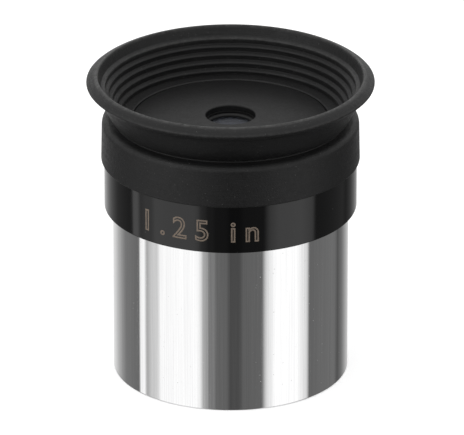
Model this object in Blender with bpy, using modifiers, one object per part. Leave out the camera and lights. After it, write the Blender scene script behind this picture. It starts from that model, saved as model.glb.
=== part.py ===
"""A 1.25-inch telescope eyepiece of the Kellner kind, 10 mm focal length.

A plated barrel carries a black housing on a screw thread. The housing holds a lens cell with a cemented
eye doublet, a field lens and a field stop, and a soft flared eyecup grips its upper end. The frame is in
metres with +Z along the optical axis towards the eye, and its origin is the centre of the barrel's open end.
"""

import math

import bmesh
import bpy

MM = 0.001

# Roundness of the turned pieces.
LARGE_SEGMENTS = 48
SMALL_SEGMENTS = 32
FILLET_STEPS = 2

# Gap between pieces that rest on, screw into or slide over each other.
GAP = 0.3 * MM

# Barrel, a 1.25-inch tube with a filter thread in its open end and a male thread on its upper end.
BARREL_RADIUS = 15.85 * MM
BARREL_LENGTH = 23.5 * MM
BARREL_WALL = 2.25 * MM
FILTER_THREAD_WALL = 1.75 * MM
FILTER_THREAD_LENGTH = 4.2 * MM
REGISTER_DEPTH = 0.6 * MM
BARREL_THREAD_STEP = 1.1 * MM
BARREL_THREAD_LENGTH = 3.2 * MM
THREAD_RELIEF_LENGTH = 0.5 * MM
THREAD_RELIEF_DEPTH = 0.35 * MM

# Housing, a turned block with a polished band, a seat for the eyecup and a domed eye end.
SHOULDER_WIDTH = 1.15 * MM
BAND_HEIGHT = 6.55 * MM
COLLAR_SEAT_DEPTH = 0.8 * MM
COLLAR_SEAT_HEIGHT = 5.0 * MM
HOUSING_TOP_FILLET = 0.5 * MM
THREAD_POCKET_END_GAP = 0.5 * MM
DOME_EDGE_HEIGHT = 0.95 * MM
DOME_CURVATURE = 180.0 * MM
DOME_STEPS = 4
EYE_HOLE_LIP = 0.5 * MM
EYE_HOLE_CHAMFER = 0.2 * MM
EYE_PLATE_THICKNESS = 0.7 * MM

# Eyecup, one rubber moulding: collar, inner flange, stepped flare and rolled lip.
COLLAR_WALL = 0.9 * MM
COLLAR_TAPER = 0.18 * MM
COLLAR_SHOULDER_FILLET = 0.9 * MM
COLLAR_TOP_RISE = 0.25 * MM
FLANGE_REACH = 3.4 * MM
FLANGE_THICKNESS = 0.7 * MM
CREASE_SET_IN = 1.37 * MM
FLARE_HEIGHT = 4.97 * MM
FLARE_SPREAD = 3.72 * MM
FLARE_BASE_WALL = 1.0 * MM
FLARE_TOP_WALL = 1.5 * MM
FLARE_STEPS = 5
STEP_RISER_HEIGHT = 0.6
STEP_RISER_REACH = 0.3
LIP_RISE = 1.22 * MM
LIP_CREST_SET_IN = 1.55 * MM
LIP_DEPTH = 1.9 * MM
LIP_FILLET = 0.4 * MM

# Optics: doublet under the eye hole, then an air space, the field lens and the field stop.
EYE_LENS_RADIUS = 3.8 * MM
FLINT_CENTRE_THICKNESS = 0.9 * MM
CEMENTED_CURVATURE = 7.5 * MM
CROWN_EDGE_THICKNESS = 0.8 * MM
CROWN_CURVATURE = 9.5 * MM
LENS_SPACING = 6.5 * MM
FIELD_LENS_RADIUS = 6.0 * MM
FIELD_LENS_CURVATURE = 11.4 * MM
FIELD_LENS_EDGE_THICKNESS = 1.2 * MM
LENS_STEPS = 4

# Lens cell, its retaining rings and the field stop.
CELL_WALL = 1.4 * MM
EYE_SEAT_WIDTH = 0.6 * MM
EYE_SEAT_THICKNESS = 0.6 * MM
CELL_FLANGE_WIDTH = 1.5 * MM
CELL_FLANGE_THICKNESS = 1.0 * MM
CELL_END_MARGIN = 0.3 * MM
FIELD_SEAT_WIDTH = 0.7 * MM
EYE_RING_WIDTH = 0.8 * MM
EYE_RING_THICKNESS = 0.6 * MM
FIELD_STOP_RADIUS = 3.7 * MM
FIELD_STOP_WEB = 0.4 * MM
FIELD_STOP_HEIGHT = 1.2 * MM
FIELD_STOP_RIM_WIDTH = 0.8 * MM
FIELD_RING_WIDTH = 1.2 * MM
FIELD_RING_THICKNESS = 1.5 * MM
SLOT_WIDTH = 1.0 * MM
SLOT_DEPTH = 0.7 * MM
EYE_SLOT_WIDTH = 0.5 * MM
EYE_SLOT_DEPTH = 0.3 * MM

EDGE_CHAMFER = 0.15 * MM


def sag(curvature, radius):
    """How far a sphere of this radius of curvature falls away at this distance from its axis."""
    return curvature - math.sqrt(curvature**2 - radius**2)


# Barrel and its threads, worked out from the driving sizes.
BARREL_BORE = BARREL_RADIUS - BARREL_WALL
FILTER_BORE = BARREL_RADIUS - FILTER_THREAD_WALL
BARREL_THREAD_RADIUS = BARREL_RADIUS - BARREL_THREAD_STEP
BARREL_SHOULDER = BARREL_LENGTH + REGISTER_DEPTH
BARREL_TOP = BARREL_SHOULDER + BARREL_THREAD_LENGTH

# Housing and the eyecup's fit on it.
HOUSING_RADIUS = BARREL_RADIUS + SHOULDER_WIDTH
HOUSING_BOTTOM = BARREL_LENGTH
REGISTER_RADIUS = BARREL_RADIUS + GAP
REGISTER_TOP = BARREL_SHOULDER + GAP
HOUSING_THREAD_RADIUS = BARREL_THREAD_RADIUS + GAP
POCKET_TOP = BARREL_TOP + THREAD_POCKET_END_GAP
BAND_TOP = HOUSING_BOTTOM + BAND_HEIGHT
SEAT_TOP = BAND_TOP + COLLAR_SEAT_HEIGHT
COLLAR_SEAT_RADIUS = HOUSING_RADIUS - COLLAR_SEAT_DEPTH
COLLAR_BORE = COLLAR_SEAT_RADIUS + GAP
FLANGE_EDGE_RADIUS = COLLAR_BORE - FLANGE_REACH
DOME_RADIUS = FLANGE_EDGE_RADIUS - GAP
DOME_POLE = SEAT_TOP + DOME_EDGE_HEIGHT + sag(DOME_CURVATURE, DOME_RADIUS)
EYE_HOLE_RADIUS = EYE_LENS_RADIUS - EYE_HOLE_LIP
EYE_HOLE_TOP = DOME_POLE - sag(DOME_CURVATURE, EYE_HOLE_RADIUS)
EYE_PLATE_BOTTOM = EYE_HOLE_TOP - EYE_PLATE_THICKNESS

# Optical stack, from the eye end down.
CELL_TOP = EYE_PLATE_BOTTOM - GAP
EYE_BORE = EYE_LENS_RADIUS + GAP
EYE_RING_BOTTOM = CELL_TOP - EYE_RING_THICKNESS
FLINT_TOP = EYE_RING_BOTTOM - GAP
FLINT_VERTEX = FLINT_TOP - FLINT_CENTRE_THICKNESS
CROWN_VERTEX = FLINT_VERTEX - GAP
CROWN_RIM = CROWN_VERTEX - sag(CEMENTED_CURVATURE, EYE_LENS_RADIUS) - CROWN_EDGE_THICKNESS
CROWN_BOTTOM = CROWN_RIM - sag(CROWN_CURVATURE, EYE_LENS_RADIUS)
EYE_SEAT_RADIUS = EYE_LENS_RADIUS - EYE_SEAT_WIDTH
EYE_SEAT = CROWN_BOTTOM + sag(CROWN_CURVATURE, EYE_SEAT_RADIUS) - GAP
FIELD_LENS_VERTEX = CROWN_BOTTOM - LENS_SPACING
FIELD_LENS_RIM = FIELD_LENS_VERTEX - sag(FIELD_LENS_CURVATURE, FIELD_LENS_RADIUS)
FIELD_LENS_FLAT = FIELD_LENS_RIM - FIELD_LENS_EDGE_THICKNESS
FIELD_BORE = FIELD_LENS_RADIUS + GAP
FIELD_SEAT_RADIUS = FIELD_LENS_RADIUS - FIELD_SEAT_WIDTH
FIELD_SEAT = FIELD_LENS_VERTEX - sag(FIELD_LENS_CURVATURE, FIELD_SEAT_RADIUS) + GAP
FIELD_STOP_TOP = FIELD_LENS_FLAT - GAP
FIELD_STOP_BOTTOM = FIELD_STOP_TOP - FIELD_STOP_HEIGHT
FIELD_RING_TOP = FIELD_STOP_BOTTOM - GAP
FIELD_RING_BOTTOM = FIELD_RING_TOP - FIELD_RING_THICKNESS
CELL_BOTTOM = FIELD_RING_BOTTOM - CELL_END_MARGIN
CELL_RADIUS = FIELD_BORE + CELL_WALL
CELL_FLANGE_TOP = POCKET_TOP - GAP

# Eyecup.
COLLAR_BOTTOM = BAND_TOP + GAP
COLLAR_BASE_RADIUS = COLLAR_BORE + COLLAR_WALL
COLLAR_TOP_RADIUS = COLLAR_BASE_RADIUS - COLLAR_TAPER
FLANGE_BOTTOM = SEAT_TOP + GAP
FLANGE_TOP = FLANGE_BOTTOM + FLANGE_THICKNESS
CREASE_RADIUS = COLLAR_TOP_RADIUS - CREASE_SET_IN
CREASE_HEIGHT = FLANGE_TOP + COLLAR_TOP_RISE
RIM_RADIUS = CREASE_RADIUS + FLARE_SPREAD
RIM_HEIGHT = CREASE_HEIGHT + FLARE_HEIGHT
CREST_RADIUS = RIM_RADIUS - LIP_CREST_SET_IN
CREST_HEIGHT = RIM_HEIGHT + LIP_RISE
FLARE_INNER_BASE = CREASE_RADIUS - FLARE_BASE_WALL
LIP_FOOT_HEIGHT = CREST_HEIGHT - LIP_DEPTH
LIP_FOOT_SHARE = (LIP_FOOT_HEIGHT - CREASE_HEIGHT) / FLARE_HEIGHT
LIP_FOOT_RADIUS = CREASE_RADIUS + FLARE_SPREAD * LIP_FOOT_SHARE - FLARE_TOP_WALL


def finish(name, colour, roughness, metallic=0.0, transmission=0.0):
    material = bpy.data.materials.new(name)
    material.use_nodes = True
    shader = material.node_tree.nodes["Principled BSDF"]
    shader.inputs["Base Color"].default_value = (*colour, 1.0)
    shader.inputs["Roughness"].default_value = roughness
    shader.inputs["Metallic"].default_value = metallic
    shader.inputs["Transmission Weight"].default_value = transmission
    material.diffuse_color = (*colour, 1.0)
    return material


def rounded(corners):
    """The points of a closed outline of (radius, height, fillet) corners, with each fillet an arc."""
    points = []
    count = len(corners)
    for i, (r, z, fillet) in enumerate(corners):
        if fillet <= 0:
            points.append((r, z))
            continue
        before, after = corners[i - 1], corners[(i + 1) % count]
        to_before = math.hypot(before[0] - r, before[1] - z)
        to_after = math.hypot(after[0] - r, after[1] - z)
        u = ((before[0] - r) / to_before, (before[1] - z) / to_before)
        v = ((after[0] - r) / to_after, (after[1] - z) / to_after)
        half = math.acos(u[0] * v[0] + u[1] * v[1]) / 2
        reach = min(fillet / math.tan(half), 0.45 * to_before, 0.45 * to_after)
        radius = reach * math.tan(half)
        middle = ((u[0] + v[0]), (u[1] + v[1]))
        size = math.hypot(*middle)
        from_corner = radius / math.sin(half)
        centre = (r + middle[0] / size * from_corner, z + middle[1] / size * from_corner)
        start = math.atan2(z + u[1] * reach - centre[1], r + u[0] * reach - centre[0])
        end = math.atan2(z + v[1] * reach - centre[1], r + v[0] * reach - centre[0])
        turn = (end - start + math.pi) % (2 * math.pi) - math.pi
        for step in range(FILLET_STEPS + 1):
            angle = start + turn * step / FILLET_STEPS
            points.append((centre[0] + radius * math.cos(angle), centre[1] + radius * math.sin(angle)))
    return points


def turned(name, profile, material, segments=LARGE_SEGMENTS, closed=True):
    """A piece turned about the optical axis. Its profile runs down the outer side, then up the inner side."""
    mesh = bpy.data.meshes.new(name)
    edges = [(i, i + 1) for i in range(len(profile) - 1)]
    if closed:
        edges.append((len(profile) - 1, 0))
    mesh.from_pydata([(r, 0.0, z) for r, z in profile], edges, [])
    mesh.materials.append(material)
    piece = bpy.data.objects.new(name, mesh)
    model.objects.link(piece)
    screw = piece.modifiers.new("turn", "SCREW")
    screw.axis = "Z"
    screw.angle = 2 * math.pi
    screw.steps = screw.render_steps = segments
    screw.use_merge_vertices = True
    screw.merge_threshold = 0.002 * MM
    screw.use_smooth_shade = True
    return piece


def slot_cutter(name, width, depth, reach, face):
    """A bar across the axis that cuts two spanner slots into the face of a ring, at this height."""
    mesh = bpy.data.meshes.new(name)
    shape = bmesh.new()
    bmesh.ops.create_cube(shape, size=1.0)
    bmesh.ops.scale(shape, verts=shape.verts, vec=(2 * reach, width, 2 * depth))
    shape.to_mesh(mesh)
    shape.free()
    cutter = bpy.data.objects.new(name, mesh)
    cutter.location = (0.0, 0.0, face)
    cutter.hide_render = True
    cutter.display_type = "WIRE"
    cutters.objects.link(cutter)
    return cutter


def cut(piece, cutter):
    boolean = piece.modifiers.new("slots", "BOOLEAN")
    boolean.operation = "DIFFERENCE"
    boolean.solver = "EXACT"
    boolean.object = cutter


def lens_face(curvature, radius, vertex):
    """Points of a face that bulges up, from its vertex on the axis to its rim."""
    radii = [radius * step / LENS_STEPS for step in range(LENS_STEPS + 1)]
    return [(r, vertex - sag(curvature, r)) for r in radii]


def make_barrel():
    relief = BARREL_THREAD_RADIUS - THREAD_RELIEF_DEPTH
    corners = [
        (BARREL_THREAD_RADIUS - EDGE_CHAMFER, BARREL_TOP, 0),
        (BARREL_THREAD_RADIUS, BARREL_TOP - EDGE_CHAMFER, 0),
        (BARREL_THREAD_RADIUS, BARREL_SHOULDER + THREAD_RELIEF_LENGTH, 0),
        (relief, BARREL_SHOULDER + THREAD_RELIEF_LENGTH, 0),
        (relief, BARREL_SHOULDER, 0),
        (BARREL_RADIUS - EDGE_CHAMFER, BARREL_SHOULDER, 0),
        (BARREL_RADIUS, BARREL_SHOULDER - EDGE_CHAMFER, 0),
        (BARREL_RADIUS, EDGE_CHAMFER, 0),
        (BARREL_RADIUS - EDGE_CHAMFER, 0, 0),
        (FILTER_BORE + EDGE_CHAMFER, 0, 0),
        (FILTER_BORE, EDGE_CHAMFER, 0),
        (FILTER_BORE, FILTER_THREAD_LENGTH, 0),
        (BARREL_BORE, FILTER_THREAD_LENGTH, 0),
        (BARREL_BORE, BARREL_TOP, 0),
    ]
    turned("barrel", rounded(corners), chrome)


def make_housing():
    hole_edge = EYE_HOLE_RADIUS + EYE_HOLE_CHAMFER
    radii = [hole_edge + (DOME_RADIUS - hole_edge) * step / DOME_STEPS for step in range(DOME_STEPS + 1)]
    dome = [(r, DOME_POLE - sag(DOME_CURVATURE, r), 0) for r in radii]
    corners = dome + [
        (DOME_RADIUS, SEAT_TOP, 0),
        (COLLAR_SEAT_RADIUS, SEAT_TOP, HOUSING_TOP_FILLET),
        (COLLAR_SEAT_RADIUS, BAND_TOP, 0),
        (HOUSING_RADIUS - EDGE_CHAMFER, BAND_TOP, 0),
        (HOUSING_RADIUS, BAND_TOP - EDGE_CHAMFER, 0),
        (HOUSING_RADIUS, HOUSING_BOTTOM + EDGE_CHAMFER, 0),
        (HOUSING_RADIUS - EDGE_CHAMFER, HOUSING_BOTTOM, 0),
        (REGISTER_RADIUS, HOUSING_BOTTOM, 0),
        (REGISTER_RADIUS, REGISTER_TOP, 0),
        (HOUSING_THREAD_RADIUS + EDGE_CHAMFER, REGISTER_TOP, 0),
        (HOUSING_THREAD_RADIUS, REGISTER_TOP + EDGE_CHAMFER, 0),
        (HOUSING_THREAD_RADIUS, POCKET_TOP, 0),
        (CELL_RADIUS + GAP, POCKET_TOP, 0),
        (CELL_RADIUS + GAP, EYE_PLATE_BOTTOM, 0),
        (EYE_HOLE_RADIUS, EYE_PLATE_BOTTOM, 0),
        (EYE_HOLE_RADIUS, EYE_HOLE_TOP - EYE_HOLE_CHAMFER, 0),
    ]
    turned("housing", rounded(corners), gloss_black)


def make_lens_cell():
    flange_radius = CELL_RADIUS + CELL_FLANGE_WIDTH
    flange_bottom = CELL_FLANGE_TOP - CELL_FLANGE_THICKNESS
    profile = [
        (CELL_RADIUS - EDGE_CHAMFER, CELL_TOP),
        (CELL_RADIUS, CELL_TOP - EDGE_CHAMFER),
        (CELL_RADIUS, CELL_FLANGE_TOP),
        (flange_radius, CELL_FLANGE_TOP),
        (flange_radius, flange_bottom),
        (CELL_RADIUS, flange_bottom),
        (CELL_RADIUS, CELL_BOTTOM + EDGE_CHAMFER),
        (CELL_RADIUS - EDGE_CHAMFER, CELL_BOTTOM),
        (FIELD_BORE + EDGE_CHAMFER, CELL_BOTTOM),
        (FIELD_BORE, CELL_BOTTOM + EDGE_CHAMFER),
        (FIELD_BORE, FIELD_SEAT),
        (FIELD_SEAT_RADIUS, FIELD_SEAT),
        (FIELD_SEAT_RADIUS, FIELD_LENS_VERTEX),
        (EYE_SEAT_RADIUS, EYE_SEAT - EYE_SEAT_THICKNESS),
        (EYE_SEAT_RADIUS, EYE_SEAT),
        (EYE_BORE, EYE_SEAT),
        (EYE_BORE, CELL_TOP),
    ]
    turned("lens_cell", profile, matte_black, SMALL_SEGMENTS)


def make_eye_doublet():
    flint = [(0.0, FLINT_TOP), (EYE_LENS_RADIUS, FLINT_TOP)]
    flint += reversed(lens_face(CEMENTED_CURVATURE, EYE_LENS_RADIUS, FLINT_VERTEX))
    turned("eye_lens_flint", flint, coated_glass, SMALL_SEGMENTS, closed=False)
    crown = lens_face(CEMENTED_CURVATURE, EYE_LENS_RADIUS, CROWN_VERTEX)
    under = lens_face(CROWN_CURVATURE, EYE_LENS_RADIUS, 0.0)
    crown += [(r, CROWN_BOTTOM - z) for r, z in reversed(under)]
    turned("eye_lens_crown", crown, coated_glass, SMALL_SEGMENTS, closed=False)


def make_eye_lens_ring():
    inner = EYE_LENS_RADIUS - EYE_RING_WIDTH
    profile = [
        (EYE_LENS_RADIUS, CELL_TOP),
        (EYE_LENS_RADIUS, EYE_RING_BOTTOM),
        (inner, EYE_RING_BOTTOM),
        (inner, CELL_TOP),
    ]
    ring = turned("eye_lens_ring", profile, matte_black, SMALL_SEGMENTS)
    cut(ring, slot_cutter("eye_ring_slots", EYE_SLOT_WIDTH, EYE_SLOT_DEPTH, EYE_BORE, CELL_TOP))


def make_field_lens():
    profile = lens_face(FIELD_LENS_CURVATURE, FIELD_LENS_RADIUS, FIELD_LENS_VERTEX)
    profile += [(FIELD_LENS_RADIUS, FIELD_LENS_FLAT), (0.0, FIELD_LENS_FLAT)]
    turned("field_lens", profile, coated_glass, SMALL_SEGMENTS, closed=False)


def make_field_stop():
    web_top = FIELD_STOP_BOTTOM + FIELD_STOP_WEB
    rim_inner = FIELD_LENS_RADIUS - FIELD_STOP_RIM_WIDTH
    profile = [
        (FIELD_LENS_RADIUS, FIELD_STOP_TOP),
        (FIELD_LENS_RADIUS, FIELD_STOP_BOTTOM),
        (FIELD_STOP_RADIUS + FIELD_STOP_WEB, FIELD_STOP_BOTTOM),
        (FIELD_STOP_RADIUS, web_top),
        (rim_inner, web_top),
        (rim_inner, FIELD_STOP_TOP),
    ]
    turned("field_stop", profile, matte_black, SMALL_SEGMENTS)


def make_field_lens_ring():
    inner = FIELD_LENS_RADIUS - FIELD_RING_WIDTH
    profile = [
        (FIELD_LENS_RADIUS, FIELD_RING_TOP),
        (FIELD_LENS_RADIUS, FIELD_RING_BOTTOM),
        (inner + EDGE_CHAMFER, FIELD_RING_BOTTOM),
        (inner, FIELD_RING_BOTTOM + EDGE_CHAMFER),
        (inner, FIELD_RING_TOP),
    ]
    ring = turned("field_lens_ring", profile, matte_black, SMALL_SEGMENTS)
    cut(ring, slot_cutter("field_ring_slots", SLOT_WIDTH, SLOT_DEPTH, FIELD_BORE, FIELD_RING_BOTTOM))


def make_eyecup():
    """One moulding. Its inner face climbs from the flange to the lip in rounded steps."""
    corners = [
        (CREST_RADIUS, CREST_HEIGHT, LIP_FILLET),
        (RIM_RADIUS, RIM_HEIGHT, LIP_FILLET),
        (CREASE_RADIUS, CREASE_HEIGHT, 0),
        (COLLAR_TOP_RADIUS, CREASE_HEIGHT, COLLAR_SHOULDER_FILLET),
        (COLLAR_BASE_RADIUS, COLLAR_BOTTOM, EDGE_CHAMFER),
        (COLLAR_BORE, COLLAR_BOTTOM, 0),
        (COLLAR_BORE, FLANGE_BOTTOM, HOUSING_TOP_FILLET + GAP),
        (FLANGE_EDGE_RADIUS, FLANGE_BOTTOM, 0),
        (FLANGE_EDGE_RADIUS, FLANGE_TOP, EDGE_CHAMFER),
        (FLARE_INNER_BASE, FLANGE_TOP, 0),
    ]
    reach = (LIP_FOOT_RADIUS - FLARE_INNER_BASE) / FLARE_STEPS
    height = (LIP_FOOT_HEIGHT - FLANGE_TOP) / FLARE_STEPS
    for step in range(FLARE_STEPS):
        r = FLARE_INNER_BASE + step * reach
        z = FLANGE_TOP + step * height
        corners.append((r + STEP_RISER_REACH * reach, z + STEP_RISER_HEIGHT * height, 0))
        corners.append((r + reach, z + height, 0))
    turned("eyecup", rounded(corners), rubber)


for old in list(bpy.data.objects):
    bpy.data.objects.remove(old, do_unlink=True)
model = bpy.data.collections.new("telescope_eyepiece")
cutters = bpy.data.collections.new("cutters")
bpy.context.scene.collection.children.link(model)
bpy.context.scene.collection.children.link(cutters)

chrome = finish("bright_chrome", (0.80, 0.80, 0.80), 0.12, metallic=1.0)
gloss_black = finish("gloss_black", (0.012, 0.012, 0.013), 0.10)
matte_black = finish("matte_black", (0.02, 0.02, 0.02), 0.60)
rubber = finish("black_rubber", (0.022, 0.022, 0.023), 0.72)
coated_glass = finish("coated_glass", (0.85, 0.88, 1.0), 0.02, transmission=1.0)

make_barrel()
make_housing()
make_lens_cell()
make_eye_doublet()
make_eye_lens_ring()
make_field_lens()
make_field_stop()
make_field_lens_ring()
make_eyecup()
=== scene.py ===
"""Looks of the telescope eyepiece: turned metal, moulded rubber, coated glass and the studio around them."""

import math

import bmesh
import bpy
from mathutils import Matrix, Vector


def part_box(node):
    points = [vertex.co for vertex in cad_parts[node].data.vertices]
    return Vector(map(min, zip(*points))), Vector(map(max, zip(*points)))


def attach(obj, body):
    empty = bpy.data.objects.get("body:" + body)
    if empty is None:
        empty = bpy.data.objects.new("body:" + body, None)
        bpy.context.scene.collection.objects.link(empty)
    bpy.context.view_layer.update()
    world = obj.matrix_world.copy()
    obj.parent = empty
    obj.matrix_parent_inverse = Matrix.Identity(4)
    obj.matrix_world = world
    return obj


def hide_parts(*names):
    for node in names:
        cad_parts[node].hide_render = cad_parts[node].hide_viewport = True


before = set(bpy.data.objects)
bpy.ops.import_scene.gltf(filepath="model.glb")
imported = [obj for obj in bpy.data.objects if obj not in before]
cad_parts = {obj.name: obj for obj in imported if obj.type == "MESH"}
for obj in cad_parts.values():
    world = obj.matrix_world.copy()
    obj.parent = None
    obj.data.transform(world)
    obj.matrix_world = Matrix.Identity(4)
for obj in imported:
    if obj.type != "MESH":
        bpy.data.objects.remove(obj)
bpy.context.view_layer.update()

MM = 0.001

# Roundness of the turned pieces: the outer ones, and the small ones inside.
SEGMENTS = 192
INNER_SEGMENTS = 96
WIDE_ROUNDING = 0.2 * MM

# How near two points count as one, and how near a point counts as lying on a ring.
SAME_PLACE = 1e-7
ON_RING = 1e-6

# Places taken from the frame.
_, barrel_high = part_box("barrel")
housing_low, housing_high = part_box("housing")
cell_low, cell_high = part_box("lens_cell")
cup_low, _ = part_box("eyecup")
ring_low, ring_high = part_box("eye_lens_ring")
flint_low, flint_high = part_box("eye_lens_flint")
crown_low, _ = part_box("eye_lens_crown")
field_low, field_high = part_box("field_lens")
stop_low, stop_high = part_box("field_stop")
nut_low, nut_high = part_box("field_lens_ring")

BARREL_RADIUS = barrel_high.x
BARREL_TOP = barrel_high.z
HOUSING_RADIUS = housing_high.x

# Sizes that the frame does not carry.
EDGE_BREAK = 0.12 * MM
JOIN_GAP = 0.03 * MM
THREAD_PITCH = 0.75 * MM
FILTER_PITCH = 0.6 * MM
THREAD_DEPTH = 0.28 * MM
CELL_RADIUS = 7.7 * MM
BARREL_SHOULDER = BARREL_TOP - 3.2 * MM
BAND_TOP = cup_low.z - 0.15 * MM

# The steps inside the eyecup: the lowest one's edge as (radius, height), and how each next one lies to it.
STEP_COUNT = 5
LOW_STEP = (14.75 * MM, 36.66 * MM)
STEP_UNDERCUT = 0.13 * MM
STEP_TREAD = 0.63 * MM
STEP_FALL = 0.20 * MM
STEP_OUT = STEP_TREAD - STEP_UNDERCUT
STEP_UP = 0.98 * MM

# Edges of the eyecup that rub against things, as (radius, height); they are painted pale, partly as wear and
# partly as a painted highlight.
LIP_CREST = (17.85 * MM, 42.2 * MM)
LIP_RIM = (19.42 * MM, 41.3 * MM)
TOP_STEP = (LOW_STEP[0] + (STEP_COUNT - 1) * STEP_OUT, LOW_STEP[1] + (STEP_COUNT - 1) * STEP_UP)


# ---------------------------------------------------------------- materials

def new_group(name, inputs, outputs):
    group = bpy.data.node_groups.new(name, "ShaderNodeTree")
    for label, kind, value in inputs:
        socket = group.interface.new_socket(label, in_out="INPUT", socket_type=kind)
        if value is not None:
            socket.default_value = value
    for label, kind in outputs:
        group.interface.new_socket(label, in_out="OUTPUT", socket_type=kind)
    return group, Nodes(group)


class Nodes:
    """Short calls for adding nodes to a tree and joining their sockets."""

    def __init__(self, tree):
        self.tree = tree

    def add(self, kind, **inputs):
        node = self.tree.nodes.new(kind)
        for key, value in inputs.items():
            self.feed(node, key.replace("_", " "), value)
        return node

    def put(self, socket, value):
        """Joins the socket to another one, or sets its constant."""
        if isinstance(value, bpy.types.NodeSocket):
            self.tree.links.new(value, socket)
        else:
            socket.default_value = value

    def feed(self, node, key, value):
        self.put(node.inputs[key], value)

    def math(self, operation, a, b=0.0, clamp=False):
        node = self.tree.nodes.new("ShaderNodeMath")
        node.operation = operation
        node.use_clamp = clamp
        self.put(node.inputs[0], a)
        self.put(node.inputs[1], b)
        return node.outputs[0]

    def mix(self, share, a, b):
        """The first colour where the share is 0, the second where it is 1."""
        node = self.tree.nodes.new("ShaderNodeMix")
        node.data_type = "RGBA"
        self.put(node.inputs[0], share)
        self.put(node.inputs[6], a)
        self.put(node.inputs[7], b)
        return node.outputs[2]

    def span(self, value, low, high, to_low=0.0, to_high=1.0):
        """The value carried from one range to another, and held at its ends."""
        node = self.tree.nodes.new("ShaderNodeMapRange")
        self.tree.links.new(value, node.inputs[0])
        for i, number in enumerate((low, high, to_low, to_high)):
            node.inputs[i + 1].default_value = number
        return node.outputs[0]

    def noise(self, vector, scale, detail=2.0, roughness=0.5):
        node = self.add("ShaderNodeTexNoise", Scale=scale, Detail=detail, Roughness=roughness, Vector=vector)
        return node.outputs["Fac"]


def grain_group():
    """Fine even grain as a height, with slow patches as a mask."""
    group, n = new_group(
        "fine_grain",
        [("Vector", "NodeSocketVector", None), ("Scale", "NodeSocketFloat", 4000.0)],
        [("Height", "NodeSocketFloat"), ("Patches", "NodeSocketFloat")],
    )
    source = n.add("NodeGroupInput")
    result = n.add("NodeGroupOutput")
    vector, scale = source.outputs["Vector"], source.outputs["Scale"]
    fine = n.math("MULTIPLY", n.noise(vector, scale, 3.0, 0.6), 0.65)
    coarse = n.math("MULTIPLY", n.noise(vector, n.math("MULTIPLY", scale, 0.28)), 0.35)
    n.feed(result, "Height", n.math("ADD", fine, coarse))
    n.feed(result, "Patches", n.noise(vector, n.math("MULTIPLY", scale, 0.05)))
    return group


def dust_group():
    """Small pale specks, sparse and of uneven strength."""
    group, n = new_group(
        "dust_specks",
        [("Vector", "NodeSocketVector", None), ("Scale", "NodeSocketFloat", 900.0),
         ("Size", "NodeSocketFloat", 0.1)],
        [("Mask", "NodeSocketFloat")],
    )
    source = n.add("NodeGroupInput")
    result = n.add("NodeGroupOutput")
    cells = n.add("ShaderNodeTexVoronoi", Vector=source.outputs["Vector"], Scale=source.outputs["Scale"])
    near = n.math("LESS_THAN", cells.outputs["Distance"], source.outputs["Size"])
    pick = n.add("ShaderNodeSeparateColor")
    n.tree.links.new(cells.outputs["Color"], pick.inputs[0])
    chosen = n.math("GREATER_THAN", pick.outputs[0], 0.72)
    n.feed(result, "Mask", n.math("MULTIPLY", n.math("MULTIPLY", near, chosen), pick.outputs[1]))
    return group


def lathe_group():
    """Turning marks that run round the axis, and hairline rubs along it."""
    group, n = new_group(
        "lathe_marks",
        [("Vector", "NodeSocketVector", None)],
        [("Rings", "NodeSocketFloat"), ("Rubs", "NodeSocketFloat")],
    )
    source = n.add("NodeGroupInput")
    result = n.add("NodeGroupOutput")
    flattened = n.add("ShaderNodeMapping", Vector=source.outputs["Vector"], Scale=(1.0, 1.0, 60.0))
    stretched = n.add("ShaderNodeMapping", Vector=source.outputs["Vector"], Scale=(40.0, 40.0, 0.25))
    n.feed(result, "Rings", n.noise(flattened.outputs[0], 260.0, 3.0))
    n.feed(result, "Rubs", n.noise(stretched.outputs[0], 130.0, 6.0, 0.8))
    return group


def wear_and_highlight_group():
    """Broken scuffs along one round edge, which lies at a radius and a height: a mask for wear and for a
    painted highlight.
    """
    group, n = new_group(
        "ring_wear_and_highlight",
        [("Vector", "NodeSocketVector", None), ("Radius", "NodeSocketFloat", 18 * MM),
         ("Height", "NodeSocketFloat", 40 * MM), ("Reach", "NodeSocketFloat", 0.4 * MM)],
        [("Mask", "NodeSocketFloat")],
    )
    source = n.add("NodeGroupInput")
    result = n.add("NodeGroupOutput")
    x, y, z = n.add("ShaderNodeSeparateXYZ", Vector=source.outputs["Vector"]).outputs
    radius = n.math("SQRT", n.math("ADD", n.math("MULTIPLY", x, x), n.math("MULTIPLY", y, y)))
    out = n.math("SUBTRACT", radius, source.outputs["Radius"])
    up = n.math("SUBTRACT", z, source.outputs["Height"])
    away = n.math("SQRT", n.math("ADD", n.math("MULTIPLY", out, out), n.math("MULTIPLY", up, up)))
    near = n.math("SUBTRACT", 1.0, n.math("DIVIDE", away, source.outputs["Reach"]), clamp=True)
    scuffs = n.span(n.noise(source.outputs["Vector"], 1400.0, 6.0, 0.8), 0.34, 0.60)
    n.feed(result, "Mask", n.math("MULTIPLY", near, scuffs, clamp=True))
    return group


GRAIN = grain_group()
DUST = dust_group()
LATHE = lathe_group()
WEAR_AND_HIGHLIGHT = wear_and_highlight_group()


def place(n, group, vector, **values):
    """One use of a shared effect, with its own values."""
    node = n.tree.nodes.new("ShaderNodeGroup")
    node.node_tree = group
    n.feed(node, "Vector", vector)
    for key, value in values.items():
        node.inputs[key].default_value = value
    return node


def start_material(name, **constants):
    material = bpy.data.materials.new(name)
    material.use_nodes = True
    n = Nodes(material.node_tree)
    shader = material.node_tree.nodes["Principled BSDF"]
    for key, value in constants.items():
        shader.inputs[key.replace("_", " ")].default_value = value
    vector = n.add("ShaderNodeTexCoord").outputs["Object"]
    return material, n, shader, vector


def bump(n, shader, height, distance, strength):
    node = n.add("ShaderNodeBump", Height=height, Distance=distance, Strength=strength)
    n.feed(shader, "Normal", node.outputs[0])


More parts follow.
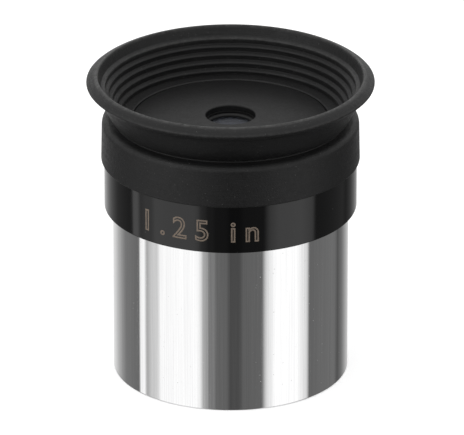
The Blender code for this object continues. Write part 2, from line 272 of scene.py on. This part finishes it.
def dusted(n, dust, share, tone, grey):
    """A base tone with its dust specks shown as a grey."""
    return n.mix(n.math("MULTIPLY", dust.outputs["Mask"], share), tone, (grey, grey, grey, 1))


def roughened(n, dust, rough, extra):
    """A roughness that rises where there is dust."""
    return n.math("ADD", rough, n.math("MULTIPLY", dust.outputs["Mask"], extra))


def rubber_material():
    """Moulded rubber: nearly black, a fine pebbled skin with dust and lint on it, and edges painted pale,
    partly as wear and partly as a painted highlight.
    """
    material, n, shader, vector = start_material(
        "black_rubber", Specular_IOR_Level=0.34, Sheen_Weight=0.028, Sheen_Roughness=0.35
    )
    grain = place(n, GRAIN, vector, Scale=5200.0)
    dust = place(n, DUST, vector, Scale=3000.0, Size=0.17)
    lint = place(n, DUST, vector, Scale=1150.0, Size=0.075)
    marks = place(n, LATHE, vector)
    base = n.mix(grain.outputs["Patches"], (0.0028, 0.0028, 0.0029, 1), (0.0068, 0.0068, 0.0070, 1))
    outward, reach = 0.15 * MM, 0.55 * MM
    # Pale edges: partly wear, partly a painted highlight; the inner top step's pale band is a painted
    # highlight.
    worn_and_lit = 0.0
    for (radius, height), strength in ((LIP_CREST, 0.9), (LIP_RIM, 0.35), (TOP_STEP, 0.35)):
        edge = place(n, WEAR_AND_HIGHLIGHT, vector, Radius=radius + outward, Height=height, Reach=reach)
        worn_and_lit = n.math("MAXIMUM", worn_and_lit, n.math("MULTIPLY", edge.outputs["Mask"], strength))
    base = n.mix(worn_and_lit, base, (0.085, 0.085, 0.083, 1))
    specks = n.math("MAXIMUM", n.math("MULTIPLY", dust.outputs["Mask"], 0.55), lint.outputs["Mask"])
    n.feed(shader, "Base Color", n.mix(specks, base, (0.10, 0.10, 0.097, 1)))
    pebbles = n.math("MULTIPLY", grain.outputs["Height"], 0.7)
    skin = n.math("ADD", pebbles, n.math("MULTIPLY", marks.outputs["Rings"], 0.3))
    n.feed(shader, "Roughness", n.span(skin, 0.36, 0.64, 0.36, 0.62))
    height = n.math("ADD", skin, n.math("MULTIPLY", specks, 0.4))
    bump(n, shader, height, 0.09 * MM, 0.8)
    return material


def chrome_material():
    """Bright plating with hairline rubs along the barrel and a few specks of dust."""
    material, n, shader, vector = start_material("bright_chrome", Metallic=1.0)
    marks = place(n, LATHE, vector)
    dust = place(n, DUST, vector, Scale=1700.0, Size=0.11)
    rubbed = n.span(marks.outputs["Rubs"], 0.36, 0.62)
    tone = n.mix(rubbed, (0.80, 0.80, 0.805, 1), (0.93, 0.93, 0.93, 1))
    n.feed(shader, "Base Color", dusted(n, dust, 0.45, tone, 0.55))
    rough = n.span(marks.outputs["Rubs"], 0.52, 0.70, 0.03, 0.20)
    n.feed(shader, "Roughness", roughened(n, dust, rough, 0.4))
    height = n.math("ADD", n.math("MULTIPLY", marks.outputs["Rings"], 0.4), marks.outputs["Rubs"])
    bump(n, shader, height, 0.0025 * MM, 0.2)
    return material


def gloss_black_material():
    """Polished black anodising, faintly rubbed along the axis."""
    material, n, shader, vector = start_material("gloss_black", Specular_IOR_Level=0.49)
    marks = place(n, LATHE, vector)
    dust = place(n, DUST, vector, Scale=800.0, Size=0.06)
    tone = n.mix(marks.outputs["Rubs"], (0.0012, 0.0012, 0.0013, 1), (0.0030, 0.0030, 0.0033, 1))
    n.feed(shader, "Base Color", dusted(n, dust, 0.4, tone, 0.16))
    n.feed(shader, "Roughness", n.span(marks.outputs["Rubs"], 0.3, 0.75, 0.05, 0.14))
    bump(n, shader, marks.outputs["Rings"], 0.002 * MM, 0.4)
    return material


def matte_black_material(name, low, high, rough):
    """Dull black paint over turned metal, with its base tone between two greys."""
    material, n, shader, vector = start_material(name, Specular_IOR_Level=0.3)
    grain = place(n, GRAIN, vector, Scale=3600.0)
    marks = place(n, LATHE, vector)
    dust = place(n, DUST, vector, Scale=2000.0, Size=0.12)
    tone = n.mix(grain.outputs["Patches"], (low, low, low, 1), (high, high, high * 1.02, 1))
    n.feed(shader, "Base Color", dusted(n, dust, 0.4, tone, 0.12))
    n.feed(shader, "Roughness", n.span(grain.outputs["Height"], 0.3, 0.7, rough, rough + 0.14))
    bump(n, shader, n.math("ADD", grain.outputs["Height"], marks.outputs["Rings"]), 0.02 * MM, 0.5)
    return material


def glass_material():
    """Polished glass under a blue anti-reflection coating, with a faint film of dust; the pale blue-grey base
    colour of its untransmitted share is a painted reflection.
    """
    material, n, shader, vector = start_material(
        "coated_glass", Transmission_Weight=0.80, IOR=1.64, Coat_Weight=0.3, Coat_Roughness=0.02, Coat_IOR=1.6
    )
    shader.inputs["Specular Tint"].default_value = (0.80, 0.86, 1.0, 1)
    film = n.noise(vector, 900.0, 3.0)
    dust = place(n, DUST, vector, Scale=1500.0, Size=0.06)
    # The pale blue-grey base colour is a painted reflection of the light seen in the lens; the film noise
    # varies it as dust.
    n.feed(shader, "Base Color", n.mix(film, (0.45, 0.47, 0.53, 1), (0.53, 0.55, 0.60, 1)))
    rough = n.span(film, 0.35, 0.7, 0.14, 0.20)
    n.feed(shader, "Roughness", roughened(n, dust, rough, 0.3))
    return material


def engraving_material():
    """Metal laid bare by a laser: warm grey-brown, dull and slightly uneven."""
    material, n, shader, vector = start_material("laser_engraving", Metallic=0.25)
    grain = place(n, GRAIN, vector, Scale=9000.0)
    tone = n.mix(grain.outputs["Height"], (0.075, 0.055, 0.040, 1), (0.33, 0.265, 0.21, 1))
    n.feed(shader, "Base Color", tone)
    n.feed(shader, "Roughness", n.span(grain.outputs["Height"], 0.3, 0.7, 0.45, 0.7))
    bump(n, shader, grain.outputs["Height"], 0.01 * MM, 0.5)
    return material


def floor_material():
    """A white sweep that glows a little, so that it stays white in a dim studio."""
    material, n, shader, vector = start_material(
        "pale_floor", Specular_IOR_Level=0.1, Roughness=0.9,
        Emission_Color=(1, 1, 1, 1), Emission_Strength=0.3,
    )
    tone = n.mix(n.noise(vector, 3.0), (0.93, 0.93, 0.93, 1), (0.95, 0.95, 0.95, 1))
    n.feed(shader, "Base Color", tone)
    return material


rubber = rubber_material()
chrome = chrome_material()
gloss_black = gloss_black_material()
matte_black = matte_black_material("matte_black", 0.010, 0.018, 0.45)
eye_end_black = matte_black_material("eye_end_black", 0.0028, 0.0058, 0.42)
glass = glass_material()
engraving = engraving_material()


# ---------------------------------------------------------------- shapes

def add_piece(name, shape, materials, body, nodes=()):
    """Makes the finished object of a shape, on its body, in place of the frame's nodes that it stands for."""
    mesh = bpy.data.meshes.new(name)
    shape.to_mesh(mesh)
    shape.free()
    for material in materials:
        mesh.materials.append(material)
    mesh.shade_smooth()
    mesh.set_sharp_from_angle(angle=math.radians(40))
    piece = bpy.data.objects.new(name, mesh)
    bpy.context.scene.collection.objects.link(piece)
    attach(piece, body)
    if nodes:
        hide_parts(*nodes)
    normals = piece.modifiers.new("even_shading", "WEIGHTED_NORMAL")
    normals.weight = 100
    normals.keep_sharp = True
    return piece


def spun(corners, segments=SEGMENTS, closed=True):
    """A body turned about the axis from (radius, height, edge rounding) corners."""
    shape = bmesh.new()
    points = [shape.verts.new((r, 0.0, z)) for r, z, _ in corners]
    edges = [shape.edges.new(pair) for pair in zip(points, points[1:])]
    if closed:
        edges.append(shape.edges.new((points[-1], points[0])))
    bmesh.ops.spin(
        shape, geom=points + edges, cent=(0, 0, 0), axis=(0, 0, 1), angle=2 * math.pi, steps=segments,
        use_merge=True,
    )
    bmesh.ops.remove_doubles(shape, verts=shape.verts, dist=SAME_PLACE)
    bmesh.ops.recalc_face_normals(shape, faces=shape.faces)
    for r, z, rounding in corners:
        if rounding:
            ring = [e for e in shape.edges if all(on_ring(v, r, z) for v in e.verts)]
            steps = 2 if rounding < WIDE_ROUNDING else 5
            bmesh.ops.bevel(
                shape, geom=ring, offset=rounding, offset_type="OFFSET", segments=steps, profile=0.5,
                affect="EDGES", clamp_overlap=True, material=-1,
            )
    return shape


def on_ring(vert, r, z):
    return abs(math.hypot(vert.co.x, vert.co.y) - r) < ON_RING and abs(vert.co.z - z) < ON_RING


def paint(shape, index, test):
    """Gives the faces whose middle passes the test (radius, height) this material slot."""
    for face in shape.faces:
        middle = face.calc_center_median()
        radius = sum(math.hypot(v.co.x, v.co.y) for v in face.verts) / len(face.verts)
        if test(radius, middle.z):
            face.material_index = index


def helix(radius, low, high, pitch, inward, segments=96):
    """One ridge of a screw thread: a blunt triangle swept up the axis and sunk a little into its wall."""
    sink = 0.1 * MM
    tip = radius - THREAD_DEPTH if inward else radius + THREAD_DEPTH
    root = radius + sink if inward else radius - sink
    half = pitch * 0.44
    crest = half * 0.15
    shape = bmesh.new()
    outline = [(root, -half), (root, half), (tip, crest), (tip, -crest)]
    points = [shape.verts.new((r, 0.0, low + z)) for r, z in outline]
    loop = [shape.edges.new((points[i], points[(i + 1) % 4])) for i in range(4)]
    turns = (high - low) / pitch
    steps = int(turns * segments)
    bmesh.ops.holes_fill(shape, edges=loop, sides=4)
    bmesh.ops.spin(
        shape, geom=loop, cent=(0, 0, 0), axis=(0, 0, 1), angle=2 * math.pi * turns, steps=steps,
        dvec=(0, 0, (high - low) / steps), use_duplicate=False,
    )
    bmesh.ops.holes_fill(shape, edges=[e for e in shape.edges if e.is_boundary], sides=4)
    bmesh.ops.recalc_face_normals(shape, faces=shape.faces)
    return shape


def joined(*shapes):
    """Several closed bodies in one mesh."""
    whole = bmesh.new()
    for shape in shapes:
        mesh = bpy.data.meshes.new("joining")
        shape.to_mesh(mesh)
        shape.free()
        whole.from_mesh(mesh)
        bpy.data.meshes.remove(mesh)
    return whole


def sag(curvature, radius):
    """How far a spherical face falls between its axis and a radius."""
    return curvature - math.sqrt(curvature**2 - radius**2)


def arc(curvature, radius, vertex, steps=12):
    """A spherical face's outline, from the axis to its rim. A negative radius of curvature bulges down."""
    size, side = abs(curvature), math.copysign(1, curvature)
    radii = [radius * i / steps for i in range(steps + 1)]
    return [(r, vertex - side * sag(size, r), 0) for r in radii]


def make_barrel():
    """Plated tube with a threaded spigot on top and a filter thread in its mouth, blackened inside."""
    bore = BARREL_RADIUS - 2.25 * MM
    filter_bore = BARREL_RADIUS - 1.6 * MM
    filter_depth = 4.2 * MM
    mouth = filter_bore + 0.25 * MM
    lead_in = 0.3 * MM
    foot_rounding = 0.13 * MM
    spigot = BARREL_RADIUS - 1.3 * MM
    relief = spigot - 0.3 * MM
    relief_high = BARREL_SHOULDER + 0.5 * MM
    run_out = 0.4 * MM
    shape = spun([
        (spigot, BARREL_TOP, EDGE_BREAK),
        (spigot, relief_high + 0.1 * MM, 0),
        (relief, relief_high, 0),
        (relief, BARREL_SHOULDER, 0),
        (BARREL_RADIUS, BARREL_SHOULDER, EDGE_BREAK),
        (BARREL_RADIUS, 0.0, foot_rounding),
        (mouth, 0.0, EDGE_BREAK),
        (filter_bore, lead_in, 0),
        (filter_bore, filter_depth, 0),
        (bore, filter_depth + lead_in, 0),
        (bore, BARREL_TOP, EDGE_BREAK),
    ])
    thread = helix(spigot, relief_high + 0.45 * MM, BARREL_TOP - run_out, THREAD_PITCH, inward=False)
    filter_thread = helix(filter_bore, 0.65 * MM, filter_depth - run_out, FILTER_PITCH, inward=True)
    shape = joined(shape, thread, filter_thread)
    blackened = relief - 0.1 * MM
    paint(shape, 1, lambda r, z: r <= blackened and z > 0.1 * MM)
    add_piece("barrel_tube", shape, [chrome, matte_black], "barrel", ["barrel"])


def make_housing():
    """Gloss black shell: a band, a seat for the eyecup, a domed eye end and a pocket for the barrel."""
    seat = HOUSING_RADIUS - 0.8 * MM
    seat_top = cup_low.z + 4.7 * MM
    boss = 13.15 * MM
    edge = housing_high.z - 0.48 * MM
    dome_curve = 180 * MM
    dome_top = edge + sag(dome_curve, boss)
    pocket = BARREL_RADIUS - 0.8 * MM
    pocket_top = BARREL_TOP + 0.5 * MM
    cell_bore = CELL_RADIUS + 0.05 * MM
    hole = 3.3 * MM
    ledge = hole - 0.13 * MM
    ledge_z = housing_high.z - 0.8 * MM
    plate = cell_high.z + JOIN_GAP
    bottom = housing_low.z
    register = BARREL_RADIUS + JOIN_GAP
    register_top = BARREL_SHOULDER + JOIN_GAP
    run_out = 0.5 * MM
    rings = [boss * i / 6 for i in range(2, 6)]
    dome = [(r, dome_top - sag(dome_curve, r), 0) for r in rings]
    shape = spun(
        [(hole, housing_high.z, 0.2 * MM)] + dome + [
            (boss, edge, 0.18 * MM),
            (boss, seat_top, 0),
            (seat, seat_top, 0.5 * MM),
            (seat, BAND_TOP, 0),
            (HOUSING_RADIUS, BAND_TOP, EDGE_BREAK),
            (HOUSING_RADIUS, bottom, 0.16 * MM),
            (register, bottom, 0),
            (register, register_top, 0),
            (pocket, register_top, EDGE_BREAK),
            (pocket, pocket_top, 0),
            (cell_bore, pocket_top, 0),
            (cell_bore, plate, 0),
            (ledge, plate, 0),
            (ledge, ledge_z, 0.05 * MM),
            (hole, ledge_z, 0),
        ]
    )
    thread = helix(pocket, register_top + run_out, pocket_top - run_out, THREAD_PITCH, inward=True)
    shape = joined(shape, thread)
    inside = 0.2 * MM
    paint(shape, 1, lambda r, z: z > seat_top - inside and r < seat - inside)
    add_piece("housing_shell", shape, [gloss_black, eye_end_black], "head", ["housing"])


def make_eyecup():
    """One moulding: collar, flange, a flare with five rounded steps inside, and a lip that rolls outward."""
    collar_foot, collar_foot_z = 17.4 * MM, cup_low.z - 0.1 * MM
    collar_bore, collar_shoulder = 16.25 * MM, 17.28 * MM
    crease, crease_z = 15.72 * MM, 36.12 * MM
    bead = 0.26 * MM
    flange_low, flange_high = cup_low.z + 4.75 * MM, 36.05 * MM
    flange_bore = 13.22 * MM
    lip_back = (18.72 * MM, 41.9 * MM)
    lip_underside = (19.25 * MM, 41.05 * MM)
    flare_head = (18.2 * MM, 40.35 * MM)
    crisp, soft = 0.06 * MM, 0.2 * MM
    corners = [
        (*LIP_CREST, soft),
        (*lip_back, 0.5 * MM),
        (*LIP_RIM, soft),
        (*lip_underside, 0.1 * MM),
        (*flare_head, 0.6 * MM),
        (crease + 0.28 * MM, crease_z + bead + 0.1 * MM, crisp),
        (crease, crease_z + bead, 0.08 * MM),
        (crease, crease_z, crisp),
        (collar_shoulder, crease_z, 0.9 * MM),
        (collar_foot, collar_foot_z, soft),
        (collar_bore, collar_foot_z, 0.1 * MM),
        (collar_bore, flange_low, 0.4 * MM),
        (flange_bore, flange_low, 0),
        (flange_bore, flange_high, soft),
    ]
    # Each step is an undercut riser, a rounded edge and a tread that falls inward.
    step_r, step_z = LOW_STEP
    corners.append((step_r + STEP_UNDERCUT, flange_high, crisp))
    for _ in range(STEP_COUNT):
        corners.append((step_r, step_z, soft))
        corners.append((step_r + STEP_TREAD, step_z + STEP_FALL, crisp))
        step_r += STEP_OUT
        step_z += STEP_UP
    add_piece("eyecup_rubber", spun(corners), [rubber], "eyecup", ["eyecup"])


def make_lens_cell():
    """Stepped tube: a bore for the field lens, a tapered passage, and a bore for the eye lens."""
    flange = 9.2 * MM
    flange_high = BARREL_TOP + 0.2 * MM
    flange_low = flange_high - 1.0 * MM
    slip = 0.04 * MM
    field_bore, field_seat = field_high.x + slip, field_high.z - 1.25 * MM
    field_lip = field_high.x - 0.7 * MM
    eye_bore, eye_seat = flint_high.x + slip, 30.9 * MM
    eye_lip, eye_lip_low = eye_bore - 0.64 * MM, eye_seat - 0.6 * MM
    shape = spun([
        (CELL_RADIUS, cell_high.z, EDGE_BREAK),
        (CELL_RADIUS, flange_high, 0),
        (flange, flange_high, EDGE_BREAK),
        (flange, flange_low, EDGE_BREAK),
        (CELL_RADIUS, flange_low, 0),
        (CELL_RADIUS, cell_low.z, EDGE_BREAK),
        (field_bore, cell_low.z, EDGE_BREAK),
        (field_bore, field_seat, 0),
        (field_lip, field_seat, 0),
        (field_lip, field_high.z, 0),
        (eye_lip, eye_lip_low, 0),
        (eye_lip, eye_seat, 0),
        (eye_bore, eye_seat, 0),
        (eye_bore, cell_high.z, EDGE_BREAK),
    ], INNER_SEGMENTS)
    add_piece("lens_cell_tube", shape, [matte_black], "head", ["lens_cell"])


def slotted(piece, width, depth, reach, face):
    """Cuts two spanner slots across a ring's face."""
    cutter_shape = bmesh.new()
    bmesh.ops.create_cube(cutter_shape, size=1.0)
    bmesh.ops.scale(cutter_shape, verts=cutter_shape.verts, vec=(2 * reach, width, 2 * depth))
    bmesh.ops.translate(cutter_shape, verts=cutter_shape.verts, vec=(0, 0, face))
    mesh = bpy.data.meshes.new("slot_cutter")
    cutter_shape.to_mesh(mesh)
    cutter_shape.free()
    cutter = bpy.data.objects.new("slot_cutter", mesh)
    bpy.context.scene.collection.objects.link(cutter)
    boolean = piece.modifiers.new("slots", "BOOLEAN")
    boolean.object = cutter
    graph = bpy.context.evaluated_depsgraph_get()
    result = bpy.data.meshes.new_from_object(piece.evaluated_get(graph))
    piece.modifiers.clear()
    piece.data = result
    bpy.data.objects.remove(cutter)


def make_eye_lens_retainer():
    outer = ring_high.x
    face = ring_high.z - 0.1 * MM
    throat_low, throat_high, rim = 3.0 * MM, 2.9 * MM, 3.25 * MM
    shape = spun([
        (outer, face, EDGE_BREAK),
        (outer, ring_low.z, 0),
        (throat_low, ring_low.z, 0),
        (throat_high, ring_high.z - 0.35 * MM, 0.1 * MM),
        (rim, face, 0.08 * MM),
    ], INNER_SEGMENTS)
    ring = add_piece("eye_lens_retainer", shape, [matte_black], "head", ["eye_lens_ring"])
    slotted(ring, 0.5 * MM, 0.35 * MM, outer, ring_high.z)


def make_field_lens_retainer():
    outer = nut_high.x
    bore = outer - 1.2 * MM
    shape = spun([
        (outer, nut_high.z, 0),
        (outer, nut_low.z, EDGE_BREAK),
        (bore, nut_low.z, EDGE_BREAK),
        (bore, nut_high.z, 0),
    ], INNER_SEGMENTS)
    nut = add_piece("field_lens_retainer", shape, [matte_black], "head", ["field_lens_ring"])
    slotted(nut, 1.0 * MM, 0.7 * MM, outer * 1.1, nut_low.z)


def make_field_stop():
    """A cup whose floor is bored through, with the hole's edge chamfered thin."""
    outer = nut_high.x
    wall = outer - 0.8 * MM
    hole, chamfer = 3.7 * MM, 0.35 * MM
    floor_high = stop_low.z + 0.42 * MM
    shape = spun([
        (outer, stop_high.z, 0),
        (outer, stop_low.z, 0),
        (hole + 0.4 * MM, stop_low.z, 0),
        (hole, stop_low.z + chamfer, 0),
        (hole, floor_high, 0),
        (wall, floor_high, 0),
        (wall, stop_high.z, 0),
    ], INNER_SEGMENTS)
    add_piece("field_stop_ring", shape, [matte_black], "head", ["field_stop"])


def add_lens(name, outline, node):
    shape = spun(outline, INNER_SEGMENTS, closed=False)
    add_piece(name, shape, [glass], "optics", [node])


def make_lenses():
    """The eye lens, two elements cemented along a shared curve, and the flat-bottomed field lens."""
    radius = flint_high.x
    cement_curve = 7.5 * MM
    cement_top = flint_high.z - 0.9 * MM
    cement = 0.01 * MM
    flint = [(0.0, flint_high.z, 0), (radius, flint_high.z, 0)]
    flint += reversed(arc(cement_curve, radius, cement_top))
    add_lens("flint_element", flint, "eye_lens_flint")
    crown = arc(cement_curve, radius, cement_top - cement)
    crown += reversed(arc(-9.5 * MM, radius, crown_low.z))
    add_lens("crown_element", crown, "eye_lens_crown")
    radius = field_high.x
    field = arc(11.4 * MM, radius, field_high.z) + [(radius, field_low.z, 0), (0.0, field_low.z, 0)]
    add_lens("field_element", field, "field_lens")


def make_marking():
    """The barrel size, drawn in hollow strokes that lie on the gloss band."""
    text = bpy.data.curves.new("size_marking", "FONT")
    text.body = "1.25 in"
    text.size = 4.2 * MM
    text.space_character = 1.5
    text.space_word = 0.5
    text.align_x = "CENTER"
    text.fill_mode = "NONE"
    text.bevel_depth = 0.105 * MM
    text.bevel_resolution = 1
    text.resolution_u = 6
    holder = bpy.data.objects.new("size_marking_text", text)
    bpy.context.scene.collection.objects.link(holder)
    bpy.context.view_layer.update()
    graph = bpy.context.evaluated_depsgraph_get()
    flat = bpy.data.meshes.new_from_object(holder.evaluated_get(graph))
    bpy.data.objects.remove(holder)
    shape = bmesh.new()
    shape.from_mesh(flat)
    bmesh.ops.remove_doubles(shape, verts=shape.verts, dist=SAME_PLACE)
    # Long straight strokes are cut up first, so that they follow the band's curve.
    cut_spacing = 0.3 * MM
    left, right = min(v.co.x for v in shape.verts), max(v.co.x for v in shape.verts)
    cuts = int((right - left) / cut_spacing)
    for i in range(1, cuts):
        bmesh.ops.bisect_plane(
            shape, geom=shape.verts[:] + shape.edges[:] + shape.faces[:],
            plane_co=(left + (right - left) * i / cuts, 0, 0), plane_no=(1, 0, 0),
        )
    middle = math.radians(-15.5)
    base = 25.2 * MM
    flattening = 0.12
    for vert in shape.verts:
        x, up, out = vert.co
        angle = middle + x / HOUSING_RADIUS
        r = HOUSING_RADIUS + out * flattening
        vert.co = (r * math.sin(angle), -r * math.cos(angle), base + up)
    bmesh.ops.recalc_face_normals(shape, faces=shape.faces)
    add_piece("size_marking", shape, [engraving], "head")


make_barrel()
make_housing()
make_eyecup()
make_lens_cell()
make_eye_lens_retainer()
make_field_lens_retainer()
make_field_stop()
make_lenses()
make_marking()


# ---------------------------------------------------------------- studio

# Light round the object below eye level, as (azimuth in degrees from the front, brightness) stops.
PANELS = [
    (-180, 0.95), (-155, 0.68), (-141, 0.42), (-126, 0.20), (-102, 0.15),
    (-100, 1.00), (-94, 1.08), (-91, 0.42), (-84, 0.66), (-77, 0.70),
    (-73, 1.08), (-34, 1.12), (-28.6, 0.88), (-27.8, 0.49), (-22.4, 0.36),
    (-21.2, 0.21), (-16, 0.225), (-14.4, 0.145), (-4, 0.132), (0, 0.074),
    (9, 0.08), (12, 0.125), (31, 0.14), (36, 0.80), (45, 1.16),
    (68, 1.14), (81, 0.76), (84, 0.14), (124, 0.17), (131, 0.09),
    (142, 0.18), (164, 0.55),
]
SKY_LEVEL, SKY_TOP = 0.90, 0.42
SKY_FRONT, SKY_BACK = 1.25, 0.9
NADIR_SHARE = 0.4


def make_studio_light():
    """Panels below the horizon, which fade towards straight down, and a sky that dims overhead and behind."""
    world = bpy.data.worlds.new("studio")
    bpy.context.scene.world = world
    world.use_nodes = True
    n = Nodes(world.node_tree)
    world.node_tree.nodes.clear()
    direction = n.add("ShaderNodeTexCoord").outputs["Generated"]
    parts = n.add("ShaderNodeSeparateXYZ", Vector=direction)
    x, y, z = parts.outputs
    azimuth = n.math("ARCTAN2", x, n.math("MULTIPLY", y, -1.0))
    share = n.span(azimuth, -math.pi, math.pi)
    ramp = n.add("ShaderNodeValToRGB", Fac=share)
    stops = ramp.color_ramp.elements
    while len(stops) > 1:
        stops.remove(stops[-1])
    for i, (angle, level) in enumerate(PANELS):
        stop = stops[0] if i == 0 else stops.new((angle + 180) / 360)
        stop.position = (angle + 180) / 360
        stop.color = (level, level, level, 1)
    height_share = n.span(z, 0.55, 1.0, SKY_LEVEL, SKY_TOP)
    sky = n.math("MULTIPLY", height_share, n.span(y, -0.7, 0.7, SKY_FRONT, SKY_BACK))
    above = n.span(z, -0.02, 0.10)
    under = n.span(z, -0.85, -0.5, NADIR_SHARE, 1.0)
    panels = n.mix(under, (0.0, 0.0, 0.0, 1), ramp.outputs[0])
    colour = n.mix(above, panels, sky)
    background = n.add("ShaderNodeBackground", Color=colour, Strength=1.0)
    result = n.add("ShaderNodeOutputWorld")
    n.tree.links.new(background.outputs[0], result.inputs[0])


def make_floor():
    """A white floor for the camera only: the object neither mirrors it nor takes light from it."""
    drop = 0.05 * MM
    shape = bmesh.new()
    bmesh.ops.create_grid(shape, x_segments=1, y_segments=1, size=3.0)
    mesh = bpy.data.meshes.new("floor")
    shape.to_mesh(mesh)
    shape.free()
    mesh.materials.append(floor_material())
    floor = bpy.data.objects.new("floor", mesh)
    floor.location = (0, 0, -drop)
    floor.visible_glossy = False
    floor.visible_diffuse = False
    bpy.context.scene.collection.objects.link(floor)


def make_area_light(name, where, aim, size, power):
    data = bpy.data.lights.new(name, "AREA")
    data.shape = "RECTANGLE"
    data.size, data.size_y = size
    data.energy = power
    light = bpy.data.objects.new(name, data)
    light.location = where
    light.rotation_euler = (Vector(aim) - Vector(where)).to_track_quat("-Z", "Y").to_euler()
    bpy.context.scene.collection.objects.link(light)


def make_camera():
    elevation = math.radians(24.42)
    distance = 1.204
    data = bpy.data.cameras.new("camera")
    data.lens = 687.5
    data.sensor_width = 36.0
    data.clip_end = 20.0
    camera = bpy.data.objects.new("camera", data)
    camera.location = (0.0, -distance * math.cos(elevation), distance * math.sin(elevation))
    aim = Vector((0.0002, 0.0, 0.02135))
    camera.rotation_euler = (aim - camera.location).to_track_quat("-Z", "Y").to_euler()
    bpy.context.scene.collection.objects.link(camera)
    bpy.context.scene.camera = camera


make_studio_light()
make_floor()
make_area_light("top_softbox", (0.0, 0.09, 0.5), (0, 0, 0.03), (0.5, 0.5), 0.5)
make_area_light("back_softbox", (0.0, 0.5, 0.28), (0, 0, 0.04), (0.5, 0.12), 0.06)
make_area_light("left_softbox", (-0.5, -0.3, 0.35), (0, 0, 0.03), (0.3, 0.4), 0.6)
make_camera()
bpy.context.scene.view_settings.view_transform = "Standard"
